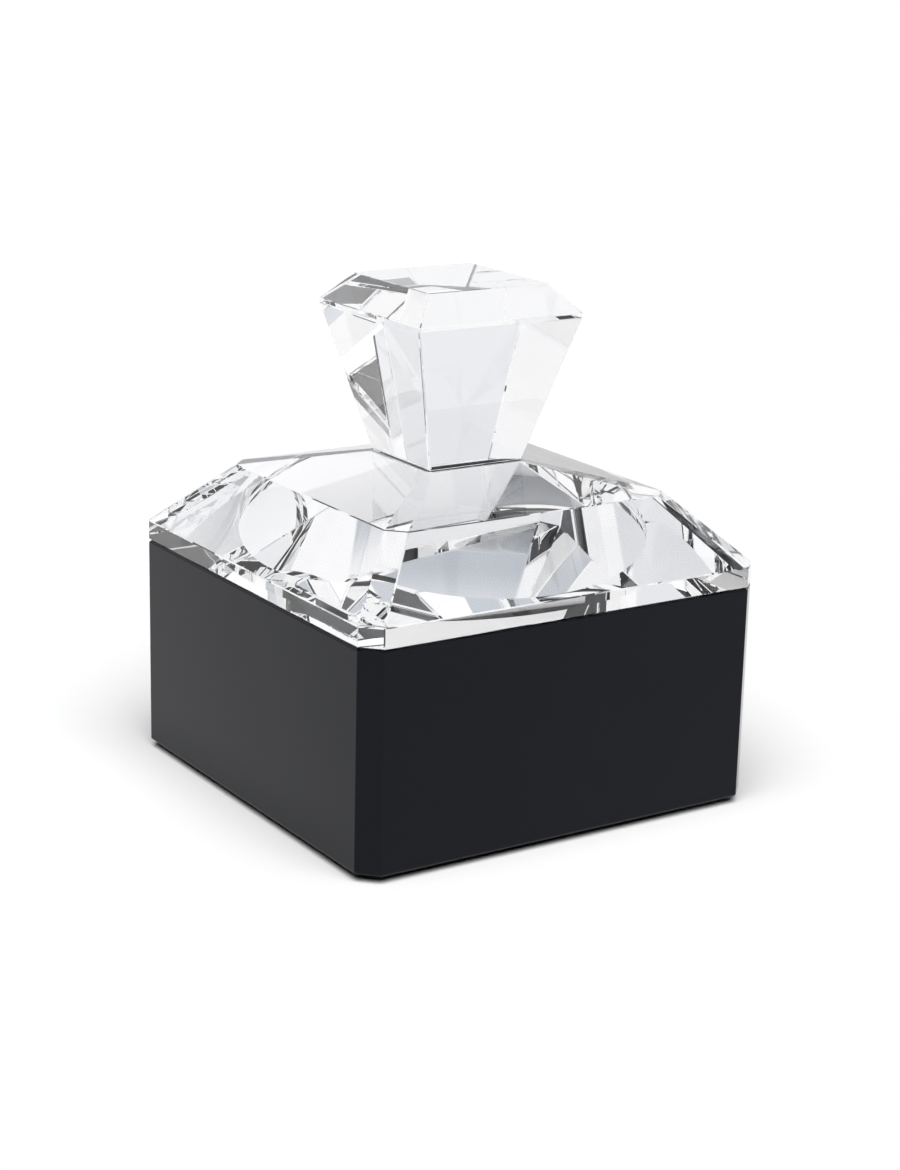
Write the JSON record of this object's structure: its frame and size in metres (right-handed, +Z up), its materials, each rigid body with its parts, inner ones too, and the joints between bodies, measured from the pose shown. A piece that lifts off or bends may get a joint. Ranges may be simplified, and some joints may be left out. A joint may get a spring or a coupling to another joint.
{
  "type": "vanity trinket box",
  "caption": "Square lidded trinket box: bored black crystal base, faceted clear crystal lid with a locating disc and a diamond-cut knob.",
  "frame": {"origin": "centre of the footprint, on the surface that the box stands on", "axes": "+Z up, -Y the front face, +X to the right of it"},
  "size_m": [0.1, 0.1, 0.1131],
  "materials": {
    "black_crystal": "polished, opaque",
    "clear_crystal": "polished, clear",
    "clear_adhesive": "clear, cured",
    "clear_silicone": "soft, translucent"
  },
  "bodies": {
    "base": {"base_block": "black_crystal", "foot_pad_front_left": "clear_silicone", "foot_pad_front_right": "clear_silicone", "foot_pad_back_left": "clear_silicone", "foot_pad_back_right": "clear_silicone"},
    "lid": {"lid_crown": "clear_crystal", "locating_disc": "clear_crystal", "disc_bond": "clear_adhesive", "knob": "clear_crystal", "knob_bond": "clear_adhesive"}
  },
  "joints": [
    {"name": "lid_lift", "type": "slide", "parent": "base", "child": "lid", "axis": [0, 0, 1], "range_m": [0, 0.08]}
  ]
}
